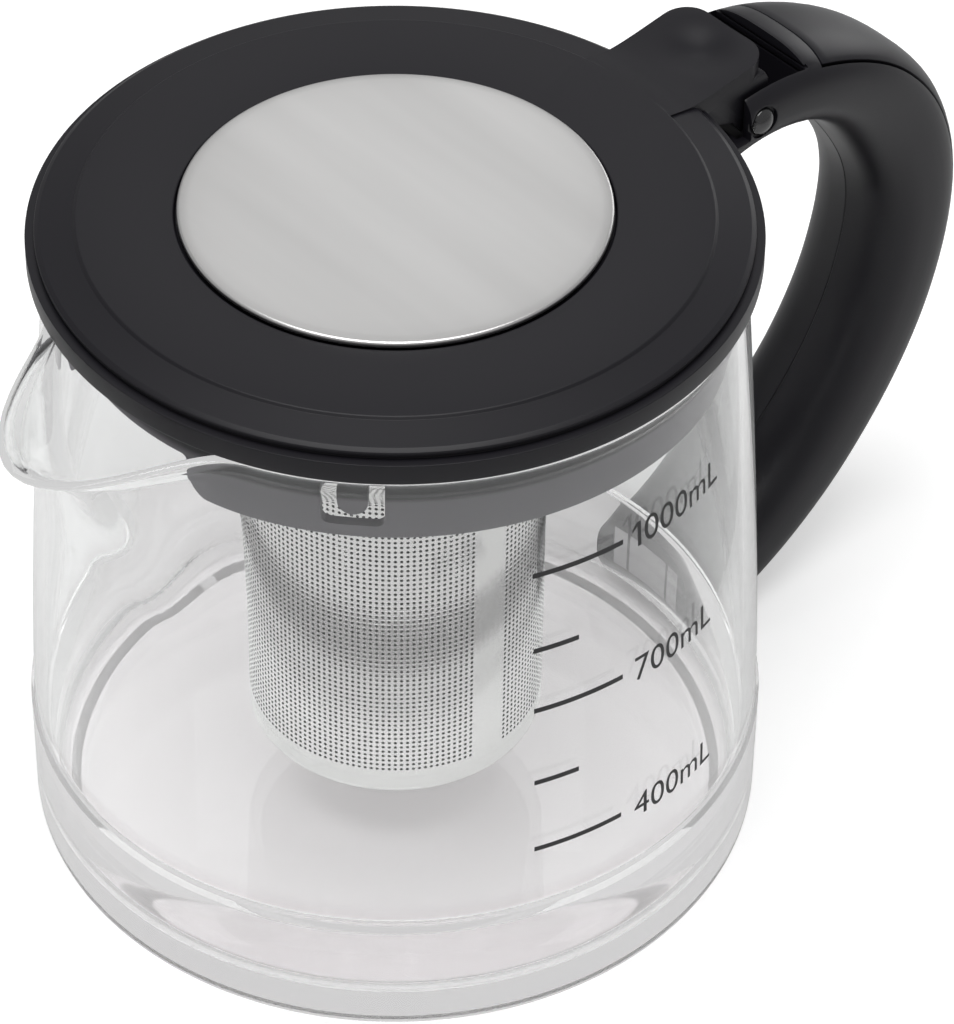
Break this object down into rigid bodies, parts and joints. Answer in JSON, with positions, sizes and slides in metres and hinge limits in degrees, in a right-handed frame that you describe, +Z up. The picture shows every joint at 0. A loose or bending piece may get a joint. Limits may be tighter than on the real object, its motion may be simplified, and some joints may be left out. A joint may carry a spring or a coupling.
{
  "type": "glass tea jug with infuser basket",
  "caption": "Glass tea-maker jug with a pouring spout, hinged lid with thumb tab, loop handle and a perforated tea basket hung from a carrier ring.",
  "frame": {"origin": "centre of the flat underside of the glass", "axes": "+X towards the handle, -X towards the spout, +Z up"},
  "size_m": [0.2018, 0.1262, 0.1264],
  "materials": {
    "clear_glass": "clear blown glass, polished",
    "black_plastic": "satin, moulded",
    "perforated_steel": "fine perforated sheet",
    "brushed_disc": "brushed in one direction, satin",
    "bond": "cured adhesive",
    "screw_steel": "plain stainless",
    "pin_metal": "blackened"
  },
  "bodies": {
    "jug": {"jug_glass": "clear_glass", "infuser_ring": "black_plastic", "handle_body": "black_plastic", "handle_cover": "black_plastic", "upper_bond_pad": "bond", "lower_bond_pad": "bond", "upper_bracket": "screw_steel", "lower_bracket": "screw_steel", "cover_screw": "screw_steel", "upper_bracket_screw_left": "screw_steel", "upper_bracket_screw_right": "screw_steel", "lower_bracket_screw_left": "screw_steel", "lower_bracket_screw_right": "screw_steel", "hinge_pin": "pin_metal"},
    "lid": {"lid_cover": "black_plastic", "lid_disc": "brushed_disc", "disc_adhesive": "bond", "lid_underplate": "black_plastic", "lid_screw_1": "screw_steel", "lid_screw_2": "screw_steel", "lid_screw_3": "screw_steel", "lid_screw_4": "screw_steel"},
    "basket": {"basket_wall": "perforated_steel", "basket_bottom": "perforated_steel", "basket_hem": "perforated_steel"}
  },
  "joints": [
    {"name": "lid_hinge", "type": "hinge", "parent": "jug", "child": "lid", "pos_m": [0.0693, 0, 0.1155], "axis": [0, 1, 0], "range_deg": [0, 85]},
    {"name": "basket_pull", "type": "slide", "parent": "jug", "child": "basket", "axis": [0, 0, 1], "range_m": [-0.012, 0]}
  ]
}
